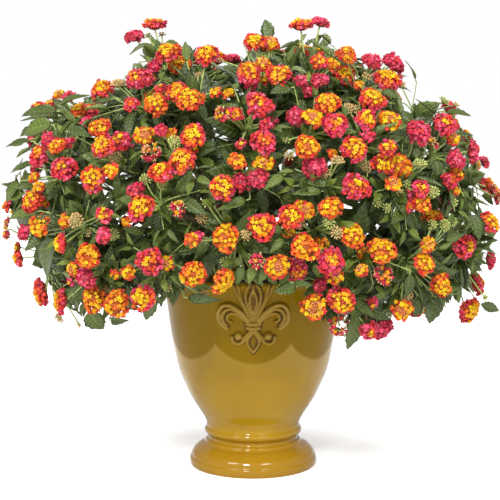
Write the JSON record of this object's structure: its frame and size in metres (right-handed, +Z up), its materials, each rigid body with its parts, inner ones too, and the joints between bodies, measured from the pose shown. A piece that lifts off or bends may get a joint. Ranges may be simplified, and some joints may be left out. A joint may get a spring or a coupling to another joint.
{
  "type": "potted lantana",
  "caption": "Bushy lantana with yellow, orange and magenta flower heads in a glossy ochre glazed urn pot with a raised fleur-de-lis.",
  "frame": {"origin": "centre of the pot's resting foot, on the surface that it stands on", "axes": "+Z up, -Y to the front with the raised lily, +X to the right as seen from the front"},
  "size_m": [0.7895, 0.7205, 0.698],
  "materials": {
    "glaze": "gloss",
    "earth": "matte",
    "bark": "matte",
    "foliage": "satin",
    "petals_yellow": "matte",
    "petals_orange": "matte",
    "petals_coral": "matte",
    "petals_magenta": "matte"
  },
  "bodies": {
    "root": {"pot": "glaze", "soil": "earth", "crown": "bark", "branch_01": "foliage", "branch_02": "foliage", "branch_03": "foliage", "branch_04": "foliage", "branch_05": "foliage", "branch_06": "foliage", "branch_07": "foliage", "branch_08": "foliage", "branch_09": "foliage", "branch_10": "foliage", "branch_11": "foliage", "branch_12": "foliage", "branch_13": "foliage", "branch_14": "foliage", "spray_01": "petals_coral", "spray_02": "petals_orange", "spray_03": "petals_orange", "spray_04": "petals_orange", "spray_05": "petals_coral", "spray_06": "petals_coral", "spray_07": "petals_orange", "spray_08": "petals_yellow", "spray_09": "petals_orange", "spray_10": "petals_orange", "spray_11": "petals_yellow", "spray_12": "petals_coral", "spray_13": "petals_orange", "spray_14": "petals_magenta", "spray_15": "petals_yellow", "spray_16": "petals_orange", "spray_17": "petals_orange", "spray_18": "petals_yellow", "spray_19": "petals_coral", "spray_20": "petals_orange", "spray_21": "petals_yellow", "spray_22": "petals_yellow", "spray_23": "petals_yellow", "spray_24": "petals_magenta", "spray_25": "petals_yellow", "spray_26": "petals_yellow", "spray_27": "petals_coral", "spray_28": "petals_coral", "spray_29": "petals_orange", "spray_30": "petals_coral", "spray_31": "petals_yellow", "spray_32": "petals_yellow", "spray_33": "petals_yellow", "spray_34": "petals_coral", "spray_35": "petals_orange", "spray_36": "petals_orange", "spray_37": "petals_yellow", "spray_38": "petals_orange", "spray_39": "petals_yellow", "spray_40": "petals_coral", "spray_41": "petals_orange", "spray_42": "petals_coral", "spray_43": "petals_orange"}
  },
  "joints": []
}
